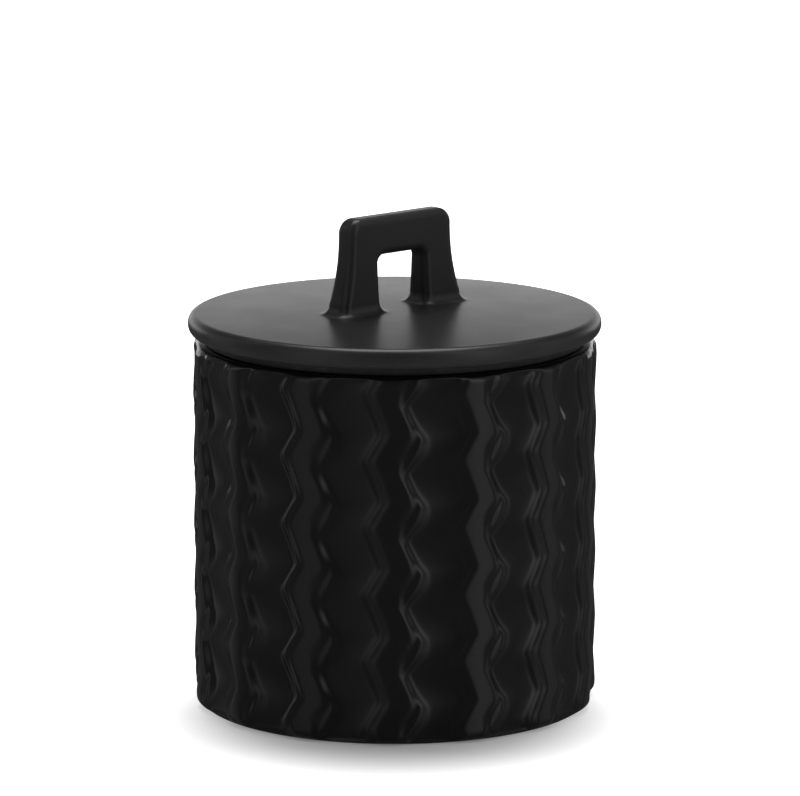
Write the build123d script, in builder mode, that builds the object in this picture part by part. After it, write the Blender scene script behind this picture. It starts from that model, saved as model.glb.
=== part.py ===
"""Ceramic sugar bowl: a cylindrical pot with a moulded relief, a lid with a loop handle, and its seal ring.

Millimetres. The origin is the centre of the foot, on the surface that the bowl stands on, with +Z up.
The handle's long side lies along X.
"""

import os

from build123d import *

os.makedirs("parts", exist_ok=True)

# Pot, measured over the high points of its moulded relief
body_radius = 49.1
rim_height = 88.8
mouth_radius = 43.0
floor_thickness = 6.0
rim_outer_round = 1.8
rim_inner_round = 1.2
base_round = 2.9
floor_round = 7.0

# Foot: a shallow recess underneath leaves a ring to stand on
foot_recess_radius = 40.5
foot_recess_depth = 1.2

# Lid
lid_radius = 50.0
lid_underside = 90.8
lid_edge_top = 95.8
lid_crown = 97.1
lid_edge_round = 2.4

# Flange under the lid, with a bead that keeps the seal ring on
flange_outer_radius = 39.0
flange_inner_radius = 36.0
flange_bottom = 82.0
bead_radius = 39.9
bead_height = 1.2
flange_overlap = 1.0

# Loop handle
handle_top = 120.0
handle_half_length = 16.2
handle_root_half_length = 19.4
handle_thickness = 6.0
handle_foot = 93.0
opening_half_width = 7.1
opening_top = 110.6
opening_corner = 2.0
handle_corner = 3.6
handle_edge_round = 1.8
flare_top = 113.0
flare_lean = 0.45
root_round = 2.0

# Seal ring: a collar between lid and rim, and a sleeve with two fins in the mouth
seal_bore_radius = 39.3
seal_collar_radius = 46.0
seal_sleeve_radius = 40.9
seal_sleeve_bottom = 83.5
fin_radius = 42.7
fin_overlap = 0.5
fin_rise = 0.6
fin_root_thickness = 1.2
fin_tip_thickness = 0.4
fin_heights = (84.4, 86.7)

# How closely an edge has to match a radius or a face to be picked for rounding
tolerance = 0.01
handle_reach = 25.0


# The pot: wall, floor and foot turned in one piece
with BuildPart() as bowl_body:
    with BuildSketch(Plane.XZ):
        with BuildLine():
            Polyline(
                (0, foot_recess_depth),
                (foot_recess_radius - foot_recess_depth, foot_recess_depth),
                (foot_recess_radius, 0),
                (body_radius, 0),
                (body_radius, rim_height),
                (mouth_radius, rim_height),
                (mouth_radius, floor_thickness),
                (0, floor_thickness),
                close=True,
            )
        make_face()
    revolve(axis=Axis.Z)
    circles = bowl_body.edges().filter_by(GeomType.CIRCLE)
    base_edge = circles.filter_by(lambda e: abs(e.radius - body_radius) < tolerance).sort_by(Axis.Z)[0]
    fillet(base_edge, radius=base_round)
    circles = bowl_body.edges().filter_by(GeomType.CIRCLE)
    rim_edges = circles.group_by(Axis.Z)[-1].sort_by(SortBy.RADIUS)
    fillet(rim_edges[-1], radius=rim_outer_round)
    circles = bowl_body.edges().filter_by(GeomType.CIRCLE)
    rim_edges = circles.group_by(Axis.Z)[-1].sort_by(SortBy.RADIUS)
    fillet(rim_edges[0], radius=rim_inner_round)
    inside = bowl_body.edges().filter_by(GeomType.CIRCLE)
    inside = inside.filter_by(lambda e: abs(e.radius - mouth_radius) < tolerance).sort_by(Axis.Z)
    fillet(inside[0], radius=floor_round)
bowl_body.part.label = "bowl_body"
export_step(bowl_body.part, "parts/bowl_body.step")

# The lid: a slightly domed disc with a full round edge
with BuildPart() as lid:
    with BuildSketch(Plane.YZ):
        with BuildLine():
            Line((0, lid_crown), (0, lid_underside))
            Line((0, lid_underside), (lid_radius - lid_edge_round, lid_underside))
            edge_bottom = (lid_radius - lid_edge_round, lid_underside)
            edge_outer = (lid_radius, (lid_underside + lid_edge_top) / 2)
            edge_top = (lid_radius - lid_edge_round, lid_edge_top)
            ThreePointArc(edge_bottom, edge_outer, edge_top)
            dome_rise = lid_crown - lid_edge_top
            dome_mid = (edge_top[0] / 2, lid_crown - dome_rise / 4)
            ThreePointArc(edge_top, dome_mid, (0, lid_crown))
        make_face()
    revolve(axis=Axis.Z)

    # Flange with its retaining bead
    with BuildSketch(Plane.XZ):
        with BuildLine():
            Polyline(
                (flange_inner_radius, lid_underside + flange_overlap),
                (flange_inner_radius, flange_bottom),
                (flange_outer_radius, flange_bottom),
                (bead_radius, flange_bottom + bead_height / 2),
                (flange_outer_radius, flange_bottom + bead_height),
                (flange_outer_radius, lid_underside + flange_overlap),
                close=True,
            )
        make_face()
    revolve(axis=Axis.Z)

    # Loop handle: two legs that widen into the lid and a bar across them
    with BuildSketch(Plane.XZ) as handle_side:
        with BuildLine():
            Line((0, handle_foot), (handle_root_half_length, handle_foot))
            Line((handle_root_half_length, handle_foot), (handle_root_half_length, lid_edge_top))
            Spline(
                (handle_root_half_length, lid_edge_top),
                (handle_half_length, flare_top),
                tangents=((-flare_lean, 1), (0, 1)),
            )
            Line((handle_half_length, flare_top), (handle_half_length, handle_top))
            Line((handle_half_length, handle_top), (0, handle_top))
            mirror(about=Plane.YZ)
        make_face()
        fillet(handle_side.vertices().group_by(Axis.Y)[-1], radius=handle_corner)
        with BuildSketch(mode=Mode.PRIVATE) as opening:
            with Locations((0, handle_foot)):
                Rectangle(2 * opening_half_width, opening_top - handle_foot, align=(Align.CENTER, Align.MIN))
            fillet(opening.vertices().group_by(Axis.Y)[-1], radius=opening_corner)
        add(opening.sketch, mode=Mode.SUBTRACT)
    extrude(amount=handle_thickness / 2, both=True)
    above_lid = lid.edges().filter_by(lambda e: e.center().Z > lid_crown + 0.5)
    on_sides = above_lid.filter_by(lambda e: abs(abs(e.center().Y) - handle_thickness / 2) < tolerance)
    fillet(on_sides, radius=handle_edge_round)
    near_root = lid.edges().filter_by(lambda e: lid_edge_top + 0.1 < e.center().Z < lid_crown + 0.3)
    roots = near_root.filter_by(lambda e: e.bounding_box().max.X < handle_reach)
    roots = roots.filter_by(lambda e: e.bounding_box().min.X > -handle_reach)
    fillet(roots, radius=root_round)
lid.part.label = "lid"
export_step(lid.part, "parts/lid.step")

# The seal ring: collar, sleeve and fins turned in one piece
with BuildPart() as seal_ring:
    with BuildSketch(Plane.XZ):
        with BuildLine():
            Polyline(
                (seal_bore_radius, lid_underside),
                (seal_bore_radius, seal_sleeve_bottom),
                (seal_sleeve_radius, seal_sleeve_bottom),
                (seal_sleeve_radius, rim_height),
                (seal_collar_radius, rim_height),
                (seal_collar_radius, lid_underside),
                close=True,
            )
        make_face()
        for fin_height in fin_heights:
            with BuildLine():
                Polyline(
                    (seal_bore_radius + fin_overlap, fin_height),
                    (fin_radius, fin_height + fin_rise),
                    (fin_radius, fin_height + fin_rise + fin_tip_thickness),
                    (seal_bore_radius + fin_overlap, fin_height + fin_root_thickness),
                    close=True,
                )
            make_face()
    revolve(axis=Axis.Z)
seal_ring.part.label = "seal_ring"
export_step(seal_ring.part, "parts/seal_ring.step")
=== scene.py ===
"""The looks of the ceramic sugar bowl: ribbed relief, satin black glaze, lid with its loop handle, seal ring.

Metres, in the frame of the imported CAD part. MM turns millimetres into metres.
"""

import math

import bmesh
import bpy
import numpy as np
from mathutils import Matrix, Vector
from mathutils.geometry import delaunay_2d_cdt


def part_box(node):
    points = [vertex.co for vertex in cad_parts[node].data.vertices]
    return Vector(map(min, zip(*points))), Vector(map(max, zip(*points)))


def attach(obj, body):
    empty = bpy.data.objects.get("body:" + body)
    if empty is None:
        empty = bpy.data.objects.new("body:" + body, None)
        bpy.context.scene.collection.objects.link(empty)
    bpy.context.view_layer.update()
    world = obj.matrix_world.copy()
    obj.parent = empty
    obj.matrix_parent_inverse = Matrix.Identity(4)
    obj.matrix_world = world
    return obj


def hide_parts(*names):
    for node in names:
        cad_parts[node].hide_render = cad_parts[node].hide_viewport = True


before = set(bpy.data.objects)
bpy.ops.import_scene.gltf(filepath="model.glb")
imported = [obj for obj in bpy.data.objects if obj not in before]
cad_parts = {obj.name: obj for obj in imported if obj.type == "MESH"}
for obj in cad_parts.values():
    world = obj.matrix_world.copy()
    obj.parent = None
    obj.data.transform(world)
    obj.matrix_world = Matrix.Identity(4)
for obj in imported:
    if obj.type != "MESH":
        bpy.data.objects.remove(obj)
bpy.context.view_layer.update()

MM = 0.001
AROUND = 900                  # points round the ribbed wall
TURNED = 288                  # points round the plain turned parts

# The pot
pot_low, pot_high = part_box("bowl_body")
POT_RADIUS = pot_high.x
RELIEF_RADIUS = POT_RADIUS - 0.9 * MM
RIM = pot_high.z
MOUTH_RADIUS = 43.0 * MM
FLOOR_TOP = 6.0 * MM
FLOOR_ROUND = 7.0 * MM
RIM_ROUND = 1.8 * MM
RIM_INNER_ROUND = 1.2 * MM
BASE_ROUND = 2.9 * MM
FOOT_INNER_RADIUS = 40.5 * MM
FOOT_RECESS = 1.2 * MM

# The relief: upright zigzag ribs with a dished hollow between them. Degrees are angles round the pot.
VIEW_AZIMUTH = -41.0          # degrees, 0 looks along +Y
RIBS = 15
RIB_DEGREES = 24.8            # rib pitch where the front is seen; the pattern runs a little tighter at the back
RIB_WIDTH_DEGREES = 10.0
ZIGZAG_HEIGHT = 16.2 * MM
EDGE_ZIGZAG = 4.5             # degrees from an edge's left-hand corners to its right-hand ones
LEFT_EDGE_DEGREES = -3.0      # a right-hand corner of one left edge, from the middle of the front
LEFT_EDGE_HEIGHT = 59.0 * MM
LEFT_EDGE_LEAN = 0.6          # share of the zigzag's height in which the edge leans left
RIGHT_EDGE_LEAN = 0.5
RIGHT_EDGE_DROP = 1.0 * MM    # the right edge has its corners this much lower
RIB_DEPTH = 1.8 * MM
RIB_DEPTH_CHANGE = 0.4 * MM   # deeper where the edges lean left, shallower where they lean right
LEFT_WALL = 3.0 * MM
RIGHT_WALL = 3.0 * MM
RIGHT_WALL_CHANGE = 2.5       # times narrower where it leans left, times wider where it leans right
HOLLOW_DISH = 0.7 * MM
GLAZE_SOFTNESS = 0.5 * MM
FADE_HEIGHT = 1.5 * MM        # the relief dies out into the rounds at the foot and the rim
FADED_LEVEL = -0.15 * MM

# The lid
lid_low, lid_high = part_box("lid")
LID_RADIUS = lid_high.x
UNDERSIDE = 90.8 * MM
EDGE_TOP = 95.8 * MM
LID_CROWN = 97.1 * MM
EDGE_DEPTH = 2.4 * MM
FLANGE_OUTER = 39.0 * MM
FLANGE_INNER = 36.0 * MM
FLANGE_BOTTOM = lid_low.z
BEAD_RADIUS = 39.9 * MM
BEAD_HEIGHT = 1.2 * MM

# The loop handle
HANDLE_TOP = lid_high.z
LEG_OUTSIDE = 16.2 * MM
LEG_FLARE = 3.2 * MM
FLARE_TOP = 117.0 * MM
HALF_DEPTH = 2.95 * MM
DEPTH_FLARE = 1.05 * MM
OPENING_HALF_WIDTH = 7.1 * MM
OPENING_TOP = 110.6 * MM
OPENING_CORNER = 2.0 * MM
HANDLE_CORNER = 3.6 * MM
HANDLE_EDGE = 1.9 * MM
ROOT_ROUND = 2.6 * MM
ROOT_RING_RADIUS = 26.0 * MM

# The camera
CAMERA_ELEVATION = 12.23      # degrees
CAMERA_DISTANCE = 1.5
CAMERA_LENS = 277.7
LOOK_AT_HEIGHT = 50 * MM
AIM_RIGHT = 1.3 * MM
AIM_UP = 24.0 * MM

# The floor glows white away from the pot. Round the foot, and further out on the camera's side, its glow is
# dimmed into a painted shadow, which adds to the lights' own soft shadow round the foot
PAINTED_SHADOW_AHEAD = 22 * MM
PAINTED_SHADOW_INNER_RADIUS = 26 * MM
PAINTED_SHADOW_OUTER_RADIUS = 78 * MM

# The seal ring
SEAL_BORE = 39.3 * MM
COLLAR_RADIUS = 46.0 * MM
SLEEVE_RADIUS = 40.9 * MM
FIN_RADIUS = 42.7 * MM
FIN_HEIGHTS = (84.4 * MM, 86.7 * MM)


# ---------------------------------------------------------------- building meshes
class Surface:
    """Collects points and faces of one welded mesh."""

    def __init__(self):
        self.points = []
        self.faces = []

    def add(self, points):
        start = len(self.points)
        self.points.extend([tuple(p) for p in points])
        return list(range(start, len(self.points)))

    def bridge(self, first, second):
        count = len(first)
        for k in range(count):
            after = (k + 1) % count
            self.faces.append((first[k], first[after], second[after], second[k]))

    def close(self, ring, centre):
        middle = self.add([centre])[0]
        count = len(ring)
        for k in range(count):
            self.faces.append((ring[k], ring[(k + 1) % count], middle))

    def piece(self, name):
        mesh = bpy.data.meshes.new(name)
        mesh.from_pydata(self.points, [], self.faces)
        mesh.validate()
        work = bmesh.new()
        work.from_mesh(mesh)
        bmesh.ops.recalc_face_normals(work, faces=work.faces)
        work.to_mesh(mesh)
        work.free()
        mesh.shade_smooth()
        made = bpy.data.objects.new(name, mesh)
        bpy.context.scene.collection.objects.link(made)
        return made


def circle(radius, height, count=TURNED):
    turn = np.linspace(0.0, 2.0 * math.pi, count, endpoint=False)
    return np.stack([radius * np.cos(turn), radius * np.sin(turn), np.full(count, height)], axis=-1)


def softened(corners, steps=6):
    """A profile of (radius, height, rounding) corners with each corner turned into an arc."""
    profile = []
    for k, (radius, height, rounding) in enumerate(corners):
        here = Vector((radius, height))
        if rounding == 0.0 or k in (0, len(corners) - 1):
            profile.append((radius, height))
            continue
        before = (Vector(corners[k - 1][:2]) - here).normalized()
        after = (Vector(corners[k + 1][:2]) - here).normalized()
        half = before.angle(after) / 2.0
        centre = here + (before + after).normalized() * (rounding / math.sin(half))
        start = here + before * (rounding / math.tan(half)) - centre
        end = here + after * (rounding / math.tan(half)) - centre
        for step in range(steps + 1):
            mix = step / steps
            arm = start.lerp(end, mix).normalized() * rounding
            profile.append(tuple(centre + arm))
    return profile


def add_profile(surface, profile, ring=None, count=TURNED):
    """Turn a profile about the axis, joined to a ring already there."""
    for radius, height in profile:
        made = surface.add(circle(radius, height, count))
        if ring is not None:
            surface.bridge(ring, made)
        ring = made
    return ring


# ---------------------------------------------------------------- the pot
def zigzag(up, lean):
    """1 at a right-hand corner and 0 at a left-hand one, for a place up the wall in zigzag heights."""
    up = np.mod(up, 1.0)
    return np.where(up < lean, 1.0 - up / lean, (up - lean) / (1.0 - lean))


def wall_relief(theta, heights):
    """Radial offset of the outer wall for angles (radians, from the front) and heights."""
    fine = 256
    across, up = np.meshgrid((np.arange(fine) + 0.5) / fine, (np.arange(fine) + 0.5) / fine)
    leans_left = np.sin(2.0 * math.pi * up)
    left_edge = (zigzag(up, LEFT_EDGE_LEAN) - 1.0) * EDGE_ZIGZAG / RIB_DEGREES
    right_zigzag = (zigzag(up + RIGHT_EDGE_DROP / ZIGZAG_HEIGHT, RIGHT_EDGE_LEAN) - 1.0) * EDGE_ZIGZAG
    width = (RIB_WIDTH_DEGREES + right_zigzag) / RIB_DEGREES - left_edge
    share = np.mod(across - left_edge, 1.0)
    pitch = math.radians(RIB_DEGREES) * RELIEF_RADIUS
    left_wall = LEFT_WALL / pitch
    right_wall = RIGHT_WALL / pitch * RIGHT_WALL_CHANGE**-leans_left
    rib = np.zeros_like(share)
    for lap in (0.0, 1.0):
        rib += np.clip(0.5 + (share - lap) / left_wall, 0.0, 1.0)
        rib -= np.clip(0.5 + (share - width + lap) / right_wall, 0.0, 1.0)
    rib *= RIB_DEPTH + RIB_DEPTH_CHANGE * leans_left
    in_hollow = (share - width) / (1.0 - width) - 0.5
    rib += np.where(share < width, 0.0, HOLLOW_DISH * (2.0 * in_hollow) ** 2)
    waves_up = np.fft.fftfreq(fine, ZIGZAG_HEIGHT / fine)[:, None]
    waves_across = np.fft.fftfreq(fine, pitch / fine)[None, :]
    soften = np.exp(-2.0 * (math.pi * GLAZE_SOFTNESS) ** 2 * (waves_up**2 + waves_across**2))
    rib = np.fft.ifft2(np.fft.fft2(rib) * soften).real
    rib -= rib.max()

    tight = 1.0 - 360.0 / RIBS / RIB_DEGREES
    turns = (np.degrees(theta) - LEFT_EDGE_DEGREES - tight * np.degrees(np.sin(theta))) * RIBS / 360.0
    column = np.mod(turns, 1.0) * fine - 0.5
    row = np.mod((heights - LEFT_EDGE_HEIGHT) / ZIGZAG_HEIGHT, 1.0) * fine - 0.5
    left = np.floor(column).astype(int)
    below = np.floor(row).astype(int)
    mix_across = (column - left)[None, :]
    mix_up = (row - below)[:, None]
    left, right = np.mod(left, fine), np.mod(left + 1, fine)
    below, above = np.mod(below, fine), np.mod(below + 1, fine)
    low = rib[np.ix_(below, left)] * (1.0 - mix_across) + rib[np.ix_(below, right)] * mix_across
    high = rib[np.ix_(above, left)] * (1.0 - mix_across) + rib[np.ix_(above, right)] * mix_across
    relief = low * (1.0 - mix_up) + high * mix_up
    from_end = np.clip(np.minimum(heights, RIM - heights) / FADE_HEIGHT, 0.0, 1.0)[:, None]
    kept = from_end * from_end * (3.0 - 2.0 * from_end)
    return FADED_LEVEL + (relief - FADED_LEVEL) * kept


def make_pot():
    theta = np.linspace(0.0, 2.0 * math.pi, AROUND, endpoint=False)
    axis_angle = math.radians(VIEW_AZIMUTH)
    right = np.array([math.cos(axis_angle), math.sin(axis_angle)])
    near = np.array([math.sin(axis_angle), -math.cos(axis_angle)])
    direction = np.sin(theta)[:, None] * right + np.cos(theta)[:, None] * near
    surface = Surface()
    ring = None

    def add_ring(radius, height):
        nonlocal ring
        points = np.empty((AROUND, 3))
        points[:, :2] = direction * np.broadcast_to(radius, theta.shape)[:, None]
        points[:, 2] = height
        made = surface.add(points)
        if ring is not None:
            surface.bridge(ring, made)
        ring = made
        return made

    base_turns = np.linspace(0.0, math.pi / 2.0, 12)
    rim_turns = np.linspace(0.0, math.pi / 2.0, 8)[1:]
    base_heights = BASE_ROUND * (1.0 - np.cos(base_turns))
    wall_heights = np.linspace(BASE_ROUND, RIM - RIM_ROUND, 215)[1:]
    rim_heights = RIM - RIM_ROUND * (1.0 - np.sin(rim_turns))
    all_heights = np.concatenate([base_heights, wall_heights, rim_heights])
    setback = np.concatenate([
        BASE_ROUND * (1.0 - np.sin(base_turns)),
        np.zeros(len(wall_heights)),
        RIM_ROUND * (1.0 - np.cos(rim_turns)),
    ])
    wall = POT_RADIUS + wall_relief(theta, all_heights) - setback[:, None]

    foot = softened([
        (20 * MM, FOOT_RECESS, 0.0),
        (FOOT_INNER_RADIUS - FOOT_RECESS, FOOT_RECESS, 1.0 * MM),
        (FOOT_INNER_RADIUS, 0.0, 0.5 * MM),
        (44 * MM, 0.0, 0.0),
    ])
    bottom = add_ring(*foot[0])
    surface.close(bottom, (0.0, 0.0, FOOT_RECESS))
    for radius, height in foot[1:]:
        add_ring(radius, height)
    for radius, height in zip(wall, all_heights):
        add_ring(radius, height)
    inside = softened([
        (45 * MM, RIM, 0.0),
        (MOUTH_RADIUS, RIM, RIM_INNER_ROUND),
        (MOUTH_RADIUS, 40 * MM, 0.0),
        (MOUTH_RADIUS, FLOOR_TOP, FLOOR_ROUND),
        (20 * MM, FLOOR_TOP, 0.0),
    ], steps=10)
    for radius, height in inside[1:]:
        add_ring(radius, height)
    surface.close(ring, (0.0, 0.0, FLOOR_TOP))
    return surface.piece("pot")


# ---------------------------------------------------------------- the lid
def dome(radius):
    """Height of the lid's top at a distance from its middle."""
    return EDGE_TOP + (LID_CROWN - EDGE_TOP) * (1.0 - (radius / (LID_RADIUS - EDGE_DEPTH)) ** 2)


def flare(height):
    """How far the legs have widened at a height, 0 high up and 1 at the lid."""
    down = np.clip((FLARE_TOP - height) / (FLARE_TOP - LID_CROWN), 0.0, 1.15)
    return down**2.2


def section(inner, outer, lean_in, lean_out, grow=0.0):
    """One ring of points round the handle between its inner and outer outline (x, z)."""
    across = Vector(outer) - Vector(inner)
    width = across.length
    edge = HANDLE_EDGE + grow
    soft_in = edge / lean_in
    soft_out = edge / lean_out
    shape = []
    quarter = np.linspace(0.0, math.pi / 2.0, 9)
    shape += [(width, side, 0.0) for side in np.linspace(-1.0, 1.0, 7)[1:-1]]
    shape += [(width - soft_out * (1.0 - math.cos(q)), 1.0, math.sin(q)) for q in quarter]
    shape += [(a, 1.0, 1.0) for a in np.linspace(width - soft_out, soft_in, 12)[1:-1]]
    shape += [(soft_in * (1.0 - math.sin(q)), 1.0, math.cos(q)) for q in quarter]
    shape += [(0.0, side, 0.0) for side in np.linspace(1.0, -1.0, 7)[1:-1]]
    shape += [(soft_in * (1.0 - math.cos(q)), -1.0, math.sin(q)) for q in quarter]
    shape += [(a, -1.0, 1.0) for a in np.linspace(soft_in, width - soft_out, 12)[1:-1]]
    shape += [(width - soft_out * (1.0 - math.sin(q)), -1.0, math.cos(q)) for q in quarter]
    points = []
    for a, side, bulge in shape:
        x, z = Vector(inner) + across * (a / width)
        flat = HALF_DEPTH + DEPTH_FLARE * float(flare(z)) + grow - edge
        y = side * (flat + edge * bulge) if abs(side) == 1.0 else side * flat
        points.append(Vector((x, y, z)))
    return points


def outer_line(height):
    return LEG_OUTSIDE + LEG_FLARE * float(flare(height))


def half_handle():
    """Rings from the root of the leg on +X up and along the bar to its middle."""
    rings = []
    root = LID_CROWN - 0.2 * MM + ROOT_ROUND
    for turn in np.linspace(math.pi / 2.0, 0.0, 12):
        grow = ROOT_ROUND * (1.0 - math.cos(turn))
        drop = ROOT_ROUND * math.sin(turn)
        ring = section((OPENING_HALF_WIDTH - grow, root), (outer_line(root) + grow, root), 1.0, 1.0, grow)
        rings.append([Vector((p.x, p.y, dome(math.hypot(p.x, p.y)) + ROOT_ROUND - drop)) for p in ring])
    foot = rings[-1]
    inner_turn = OPENING_TOP - OPENING_CORNER
    outer_turn = HANDLE_TOP - HANDLE_CORNER
    for step in np.linspace(0.0, 1.0, 26)[1:]:
        inner = (OPENING_HALF_WIDTH, root + (inner_turn - root) * step)
        high = root + (outer_turn - root) * step
        outer = (outer_line(high), high)
        lean = abs(outer[0] - inner[0]) / math.dist(outer, inner)
        ring = section(inner, outer, lean, lean)
        fade = max(0.0, 1.0 - 3.0 * step)
        rings.append([p + Vector((0.0, 0.0, fade * (f.z - root))) for p, f in zip(ring, foot)])
    for turn in np.linspace(0.0, math.pi / 2.0, 13)[1:]:
        normal = Vector((math.cos(turn), math.sin(turn)))
        inner = Vector((OPENING_HALF_WIDTH - OPENING_CORNER, inner_turn)) + normal * OPENING_CORNER
        outer = Vector((LEG_OUTSIDE - HANDLE_CORNER, outer_turn)) + normal * HANDLE_CORNER
        lean = normal.dot((outer - inner).normalized())
        rings.append(section(inner, outer, lean, lean))
    for step in np.linspace(1.0, 0.0, 10)[1:]:
        inner = Vector((step * (OPENING_HALF_WIDTH - OPENING_CORNER), OPENING_TOP))
        outer = Vector((step * (LEG_OUTSIDE - HANDLE_CORNER), HANDLE_TOP))
        lean = (outer - inner).normalized().y
        rings.append(section(inner, outer, lean, lean))
    return rings


def make_lid():
    surface = Surface()
    half = half_handle()
    rings = [surface.add(ring) for ring in half]
    for ring in reversed(half[:-1]):
        rings.append(surface.add([(-p.x, p.y, p.z) for p in ring]))
    for first, second in zip(rings[:-1], rings[1:]):
        surface.bridge(first, second)

    # the middle of the lid's top, round the two roots
    border = surface.add(circle(ROOT_RING_RADIUS, dome(ROOT_RING_RADIUS)))
    holes = (rings[0], rings[-1])
    outlines = [np.array([surface.points[k][:2] for k in hole]) for hole in holes]
    known = list(border) + list(holes[0]) + list(holes[1])
    fill = []
    pitch = 1.3 * MM
    for row in range(-22, 23):
        for column in range(-22, 23):
            x = (column + 0.5 * (row % 2)) * pitch
            y = row * pitch * 0.866
            clear = min(np.min(np.hypot(line[:, 0] - x, line[:, 1] - y)) for line in outlines)
            if math.hypot(x, y) < ROOT_RING_RADIUS - 0.6 * pitch and clear > 0.6 * pitch:
                if not any(inside_outline(line, x, y) for line in outlines):
                    fill.append((x, y, dome(math.hypot(x, y))))
    known += surface.add(fill)
    flat = [Vector(surface.points[k][:2]) for k in known]
    edges = []
    start = 0
    for loop in (border, *holes):
        edges += [(start + k, start + (k + 1) % len(loop)) for k in range(len(loop))]
        start += len(loop)
    _, _, triangles, origin, _, _ = delaunay_2d_cdt(flat, edges, [], 0, 1e-9)
    for triangle in triangles:
        corners = [known[origin[k][0]] for k in triangle]
        x = sum(surface.points[k][0] for k in corners) / 3.0
        y = sum(surface.points[k][1] for k in corners) / 3.0
        if not any(inside_outline(line, x, y) for line in outlines):
            surface.faces.append(tuple(corners))

    # the rest of the top, the edge, the underside and the flange are turned
    ring = border
    top = [(r, dome(r)) for r in np.linspace(ROOT_RING_RADIUS, LID_RADIUS - EDGE_DEPTH, 16)[1:]]
    ring = add_profile(surface, top, ring)
    middle = (UNDERSIDE + EDGE_TOP) / 2.0
    half_height = (EDGE_TOP - UNDERSIDE) / 2.0
    edge = []
    for turn in np.linspace(math.pi / 2.0, -math.pi / 2.0, 33)[1:]:
        out = abs(math.cos(turn)) ** 0.9
        up = math.copysign(abs(math.sin(turn)) ** 0.9, turn)
        edge.append((LID_RADIUS - EDGE_DEPTH + EDGE_DEPTH * out, middle + half_height * up))
    ring = add_profile(surface, edge, ring)
    under = softened([
        (LID_RADIUS - EDGE_DEPTH, UNDERSIDE, 0.0),
        (FLANGE_OUTER, UNDERSIDE, 0.25 * MM),
        (FLANGE_OUTER, FLANGE_BOTTOM + BEAD_HEIGHT, 0.2 * MM),
        (BEAD_RADIUS, FLANGE_BOTTOM + BEAD_HEIGHT / 2.0, 0.35 * MM),
        (FLANGE_OUTER, FLANGE_BOTTOM, 0.3 * MM),
        (FLANGE_INNER, FLANGE_BOTTOM, 0.8 * MM),
        (FLANGE_INNER, UNDERSIDE, 1.6 * MM),
        (12 * MM, UNDERSIDE, 0.0),
    ])
    ring = add_profile(surface, under[1:], ring)
    surface.close(ring, (0.0, 0.0, UNDERSIDE))
    return surface.piece("lid_looks")


def inside_outline(line, x, y):
    """Is the point inside the closed outline?"""
    after = np.roll(line, -1, axis=0)
    crosses = (line[:, 1] > y) != (after[:, 1] > y)
    run = np.where(crosses, after[:, 1] - line[:, 1], 1.0)
    at = line[:, 0] + (y - line[:, 1]) * (after[:, 0] - line[:, 0]) / run
    return bool(np.sum(crosses & (at > x)) % 2)


# ---------------------------------------------------------------- the seal ring
def make_seal():
    low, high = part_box("seal_ring")
    corners = [
        (SEAL_BORE, (low.z + high.z) / 2.0, 0.0),
        (SEAL_BORE, high.z, 0.2 * MM),
        (COLLAR_RADIUS, high.z, 0.5 * MM),
        (COLLAR_RADIUS, RIM, 0.5 * MM),
        (SLEEVE_RADIUS, RIM, 0.3 * MM),
    ]
    for height in reversed(FIN_HEIGHTS):
        corners += [
            (SLEEVE_RADIUS, height + 1.05 * MM, 0.2 * MM),
            (FIN_RADIUS, height + 1.0 * MM, 0.14 * MM),
            (FIN_RADIUS, height + 0.65 * MM, 0.14 * MM),
            (SLEEVE_RADIUS, height + 0.3 * MM, 0.2 * MM),
        ]
    corners += [
        (SLEEVE_RADIUS, low.z, 0.3 * MM),
        (SEAL_BORE, low.z, 0.3 * MM),
        (SEAL_BORE, (low.z + high.z) / 2.0 - 0.1 * MM, 0.0),
    ]
    surface = Surface()
    profile = softened(corners, steps=4)
    first = add_profile(surface, profile[:1])
    last = add_profile(surface, profile[1:], first)
    surface.bridge(last, first)
    return surface.piece("seal_looks")


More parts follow.
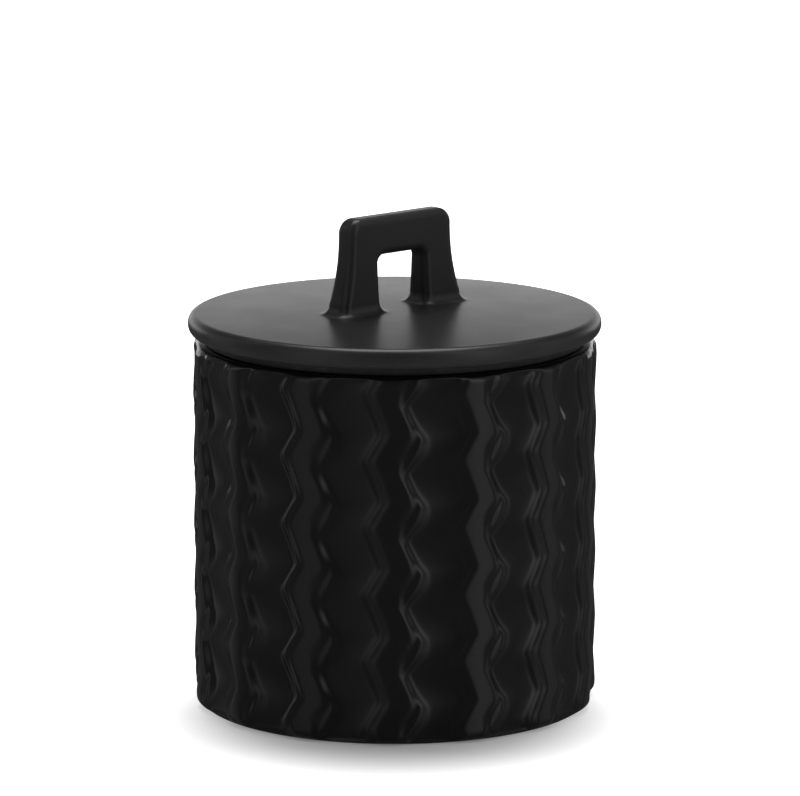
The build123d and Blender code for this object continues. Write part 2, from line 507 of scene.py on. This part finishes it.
# ---------------------------------------------------------------- materials
class Nodes:
    """Short calls for the nodes of one material, or of the world."""

    def __init__(self, name, kind="materials"):
        self.owner = getattr(bpy.data, kind).new(name)
        self.owner.use_nodes = True
        self.tree = self.owner.node_tree
        self.shader = self.tree.nodes["Principled BSDF" if kind == "materials" else "Background"]
        self.coordinates = self.add("ShaderNodeTexCoord").outputs
        self.place = self.coordinates["Object"]

    def add(self, kind, **settings):
        node = self.tree.nodes.new(kind)
        for key, value in settings.items():
            setattr(node, key, value)
        return node

    def link(self, source, target):
        if hasattr(source, "outputs"):
            source = source.outputs[0]
        self.tree.links.new(source, target)

    def noise(self, scale, detail=3.0, roughness=0.5):
        node = self.add("ShaderNodeTexNoise")
        self.link(self.place, node.inputs["Vector"])
        node.inputs["Scale"].default_value = scale
        node.inputs["Detail"].default_value = detail
        node.inputs["Roughness"].default_value = roughness
        return node.outputs["Fac"]

    def remap(self, source, low, high, to_low, to_high):
        node = self.add("ShaderNodeMapRange", interpolation_type="SMOOTHSTEP")
        self.link(source, node.inputs["Value"])
        node.inputs["From Min"].default_value = low
        node.inputs["From Max"].default_value = high
        node.inputs["To Min"].default_value = to_low
        node.inputs["To Max"].default_value = to_high
        return node.outputs["Result"]

    def math(self, operation, first, second):
        node = self.add("ShaderNodeMath", operation=operation)
        for socket, value in zip(node.inputs, (first, second)):
            if isinstance(value, float):
                socket.default_value = value
            else:
                self.link(value, socket)
        return node.outputs[0]

    def bell(self, value, middle, width):
        away = self.math("DIVIDE", self.math("SUBTRACT", value, middle), width)
        return self.math("EXPONENT", self.math("MULTIPLY", self.math("MULTIPLY", away, away), -0.5), 0.0)

    def mix(self, factor, first, second):
        node = self.add("ShaderNodeMix", data_type="RGBA")
        self.link(factor, node.inputs["Factor"])
        for key, value in (("A", first), ("B", second)):
            socket = [s for s in node.inputs if s.name == key and s.type == "RGBA"][0]
            if isinstance(value, tuple):
                socket.default_value = (*value, 1.0)
            else:
                self.link(value, socket)
        return [s for s in node.outputs if s.type == "RGBA"][0]

    def bump(self, height, distance, below=None):
        node = self.add("ShaderNodeBump")
        node.inputs["Strength"].default_value = 1.0
        node.inputs["Distance"].default_value = distance
        self.link(height, node.inputs["Height"])
        if below is not None:
            self.link(below, node.inputs["Normal"])
        return node.outputs["Normal"]


def specks(nodes, cell, size, share):
    """A mask of sparse round specks: one in some of the cells of a Voronoi pattern."""
    cells = nodes.add("ShaderNodeTexVoronoi")
    nodes.link(nodes.place, cells.inputs["Vector"])
    cells.inputs["Scale"].default_value = 1.0 / cell
    near = nodes.remap(cells.outputs["Distance"], 0.5 * size / cell, size / cell, 1.0, 0.0)
    pick = nodes.add("ShaderNodeSeparateColor")
    nodes.link(cells.outputs["Color"], pick.inputs[0])
    chosen = nodes.math("GREATER_THAN", pick.outputs[0], 1.0 - share)
    return nodes.math("MULTIPLY", near, chosen)


def glaze(name, tint, roughness):
    """Satin black glaze: faintly cloudy gloss, a soft orange peel and a few pinhole specks."""
    nodes = Nodes(name)
    cloud = nodes.noise(1.0 / (11 * MM), detail=2.0)
    grain = nodes.noise(1.0 / (1.1 * MM), detail=2.0)
    fine_grain = nodes.noise(1.0 / (0.28 * MM), detail=2.0)
    speck = specks(nodes, 9 * MM, 0.22 * MM, 0.10)
    shaded = nodes.mix(cloud, tuple(0.75 * c for c in tint), tuple(1.25 * c for c in tint))
    colour = nodes.mix(speck, shaded, (0.11, 0.105, 0.10))
    patchy = nodes.remap(cloud, 0.3, 0.7, roughness - 0.012, roughness + 0.012)
    dusty = nodes.math("ADD", patchy, nodes.remap(fine_grain, 0.3, 0.75, -0.015, 0.02))
    peel = nodes.bump(grain, 0.006 * MM)
    peel = nodes.bump(fine_grain, 0.002 * MM, peel)
    nodes.link(nodes.bump(speck, 0.03 * MM, peel), nodes.shader.inputs["Normal"])
    nodes.link(dusty, nodes.shader.inputs["Roughness"])
    nodes.shader.inputs["IOR"].default_value = 1.5
    return nodes, colour


def body_glaze():
    """The pot's glaze, wiped off the foot ring so that bare stoneware stands on the table."""
    nodes, colour = glaze("body_glaze", (0.0035, 0.0035, 0.0038), 0.22)
    height = nodes.add("ShaderNodeSeparateXYZ")
    nodes.link(nodes.place, height.inputs[0])
    waver = nodes.remap(nodes.noise(1.0 / (3 * MM)), 0.0, 1.0, -0.2 * MM, 0.2 * MM)
    edge = nodes.math("ADD", height.outputs["Z"], waver)
    bare = nodes.remap(edge, 0.15 * MM, 0.35 * MM, 1.0, 0.0)
    clay = nodes.mix(nodes.noise(1.0 / (0.5 * MM), detail=4.0), (0.10, 0.085, 0.07), (0.17, 0.15, 0.125))
    nodes.link(nodes.mix(bare, colour, clay), nodes.shader.inputs["Base Color"])
    return nodes.owner


def lid_glaze():
    nodes, colour = glaze("lid_glaze", (0.0125, 0.0125, 0.0135), 0.36)
    nodes.link(colour, nodes.shader.inputs["Base Color"])
    return nodes.owner


def seal_rubber():
    """Moulded black silicone: matt, with a fine sand-blasted grain and a trace of dust."""
    nodes = Nodes("seal")
    grain = nodes.noise(1.0 / (0.25 * MM), detail=4.0, roughness=0.6)
    dust = nodes.noise(1.0 / (6 * MM), detail=5.0, roughness=0.65)
    colour = nodes.mix(nodes.remap(dust, 0.45, 0.75, 0.0, 1.0), (0.011, 0.011, 0.0115), (0.022, 0.022, 0.022))
    nodes.link(colour, nodes.shader.inputs["Base Color"])
    nodes.link(nodes.remap(grain, 0.3, 0.7, 0.48, 0.62), nodes.shader.inputs["Roughness"])
    nodes.link(nodes.bump(grain, 0.02 * MM), nodes.shader.inputs["Normal"])
    nodes.shader.inputs["IOR"].default_value = 1.41
    return nodes.owner


def paint(piece, material):
    piece.data.materials.clear()
    piece.data.materials.append(material)


# ---------------------------------------------------------------- camera and studio
def towards_camera(distance):
    a = math.radians(VIEW_AZIMUTH)
    return (distance * math.sin(a), -distance * math.cos(a), 0.0)


def card(name, size, azimuth, elevation, distance, radiance, target=(0.0, 0.0, 0.06)):
    """An area light at an azimuth and elevation seen from the camera's side, pointing at the pot."""
    light = bpy.data.lights.new(name, "AREA")
    light.shape = "RECTANGLE"
    light.size, light.size_y = size
    light.energy = radiance * math.pi * size[0] * size[1]
    lamp = bpy.data.objects.new(name, light)
    bpy.context.scene.collection.objects.link(lamp)
    a = math.radians(VIEW_AZIMUTH) + math.radians(azimuth)
    e = math.radians(elevation)
    away = Vector((math.sin(a) * math.cos(e), -math.cos(a) * math.cos(e), math.sin(e)))
    lamp.location = Vector(target) + away * distance
    lamp.rotation_euler = away.to_track_quat("Z", "Y").to_euler()
    return lamp


def soft_box(sky, azimuth, width, radiance):
    """A soft-edged upright band of light at an azimuth seen from the camera's side, all in degrees."""
    a = math.radians(VIEW_AZIMUTH + azimuth)
    parts = []
    for direction in ((math.cos(a), math.sin(a), 0.0), (math.sin(a), -math.cos(a), 0.0)):
        along = sky.add("ShaderNodeVectorMath", operation="DOT_PRODUCT")
        sky.link(sky.coordinates["Generated"], along.inputs[0])
        along.inputs[1].default_value = direction
        parts.append(along.outputs["Value"])
    turn = sky.math("ARCTAN2", *parts)
    return sky.math("MULTIPLY", sky.bell(turn, 0.0, math.radians(width)), radiance)


def make_camera():
    elevation = math.radians(CAMERA_ELEVATION)
    a = math.radians(VIEW_AZIMUTH)
    back = Vector((math.sin(a) * math.cos(elevation), -math.cos(a) * math.cos(elevation), math.sin(elevation)))
    right = Vector((math.cos(a), math.sin(a), 0.0))
    up = back.cross(right)
    centre = Vector((0.0, 0.0, LOOK_AT_HEIGHT))
    data = bpy.data.cameras.new("camera")
    data.lens = CAMERA_LENS
    data.sensor_width = 36.0
    data.sensor_fit = "HORIZONTAL"
    data.clip_end = 50.0
    camera = bpy.data.objects.new("camera", data)
    bpy.context.scene.collection.objects.link(camera)
    camera.location = centre + back * CAMERA_DISTANCE
    aim = centre + right * AIM_RIGHT + up * AIM_UP
    camera.rotation_euler = (camera.location - aim).to_track_quat("Z", "Y").to_euler()
    bpy.context.scene.camera = camera


def make_studio():
    floor_mesh = bpy.data.meshes.new("floor")
    half = 6.0
    corners = [(-half, -half, 0), (half, -half, 0), (half, half, 0), (-half, half, 0)]
    floor_mesh.from_pydata(corners, [], [(0, 1, 2, 3)])
    floor = bpy.data.objects.new("floor", floor_mesh)
    bpy.context.scene.collection.objects.link(floor)
    paper = Nodes("floor")
    paper.shader.inputs["Base Color"].default_value = (0.9, 0.9, 0.9, 1.0)
    paper.shader.inputs["Roughness"].default_value = 0.9
    paper.shader.inputs["Emission Color"].default_value = (1, 1, 1, 1)
    # painted shadow: the floor's emission is centred on a point just ahead of the pot, so the painted shadow
    # reaches further towards the camera
    ahead = paper.add("ShaderNodeVectorMath", operation="SUBTRACT")
    paper.link(paper.place, ahead.inputs[0])
    ahead.inputs[1].default_value = towards_camera(PAINTED_SHADOW_AHEAD)
    away = paper.add("ShaderNodeVectorMath", operation="LENGTH")
    paper.link(ahead, away.inputs[0])
    # painted shadow: the emission is 0.11 round the foot and rises to an even white 1.2 further out
    glow_with_painted_shadow = paper.remap(away.outputs["Value"], PAINTED_SHADOW_INNER_RADIUS, PAINTED_SHADOW_OUTER_RADIUS, 0.11, 1.2)
    paper.link(glow_with_painted_shadow, paper.shader.inputs["Emission Strength"])
    floor.data.materials.append(paper.owner)
    floor.visible_glossy = False

    sky = Nodes("studio", "worlds")
    bpy.context.scene.world = sky.owner
    sky.shader.inputs["Color"].default_value = (1, 1, 1, 1)
    upright = sky.add("ShaderNodeSeparateXYZ")
    sky.link(sky.coordinates["Generated"], upright.inputs[0])
    level = sky.math("ARCSINE", upright.outputs["Z"], 0.0)
    light = soft_box(sky, -48.0, 15.0, 0.42)
    for azimuth, width, radiance in ((51.0, 10.5, 1.05), (-110.0, 3.0, 1.0), (97.5, 9.0, 0.55)):
        light = sky.math("ADD", light, soft_box(sky, azimuth, width, radiance))
    light = sky.math("MULTIPLY", light, sky.bell(level, math.radians(42.0), math.radians(40.0)))
    sky.link(sky.math("ADD", light, 0.075), sky.shader.inputs["Strength"])

    card("back", (2.6, 0.44), 180, 8, 1.3, 1.3)
    card("top", (0.6, 0.6), 180, 74, 1.0, 4.2)


pot = make_pot()
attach(pot, "bowl")
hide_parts("bowl_body")
lid = make_lid()
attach(lid, "lid")
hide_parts("lid")
seal = make_seal()
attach(seal, "seal")
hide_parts("seal_ring")
paint(pot, body_glaze())
paint(lid, lid_glaze())
paint(seal, seal_rubber())
make_studio()
make_camera()
bpy.context.scene.view_settings.view_transform = "Standard"
